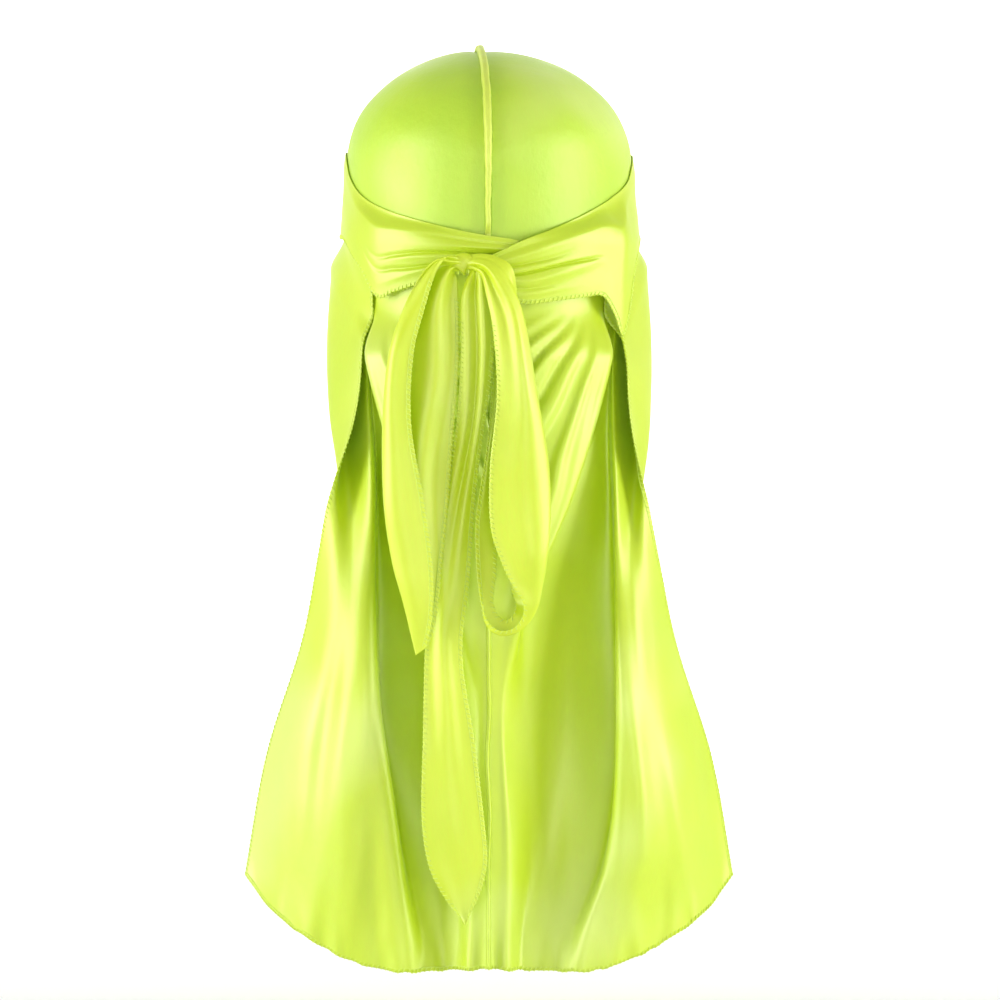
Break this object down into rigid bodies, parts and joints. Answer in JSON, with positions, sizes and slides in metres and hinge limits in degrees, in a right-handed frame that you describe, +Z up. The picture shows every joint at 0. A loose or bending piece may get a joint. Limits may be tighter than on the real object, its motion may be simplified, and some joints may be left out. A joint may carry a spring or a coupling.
{
  "type": "durag",
  "caption": "Satin head wrap with a seamed dome, straps tied in a half bow behind the head and a long flared tail down the back.",
  "frame": {"origin": "middle of the head hollow, at the level where the head is widest", "axes": "+Z up towards the top of the head, +Y the way the wearer faces, +X to the wearer's right"},
  "size_m": [0.2564, 0.2297, 0.4848],
  "materials": {
    "satin": "satin"
  },
  "bodies": {
    "root": {"crown_left": "satin", "crown_right": "satin", "crown_seam": "satin", "strap_left": "satin", "strap_right": "satin", "tail_left": "satin", "tail_right": "satin", "tail_seam": "satin", "knot": "satin", "short_end": "satin", "long_end": "satin", "bow_loop": "satin"}
  },
  "joints": []
}
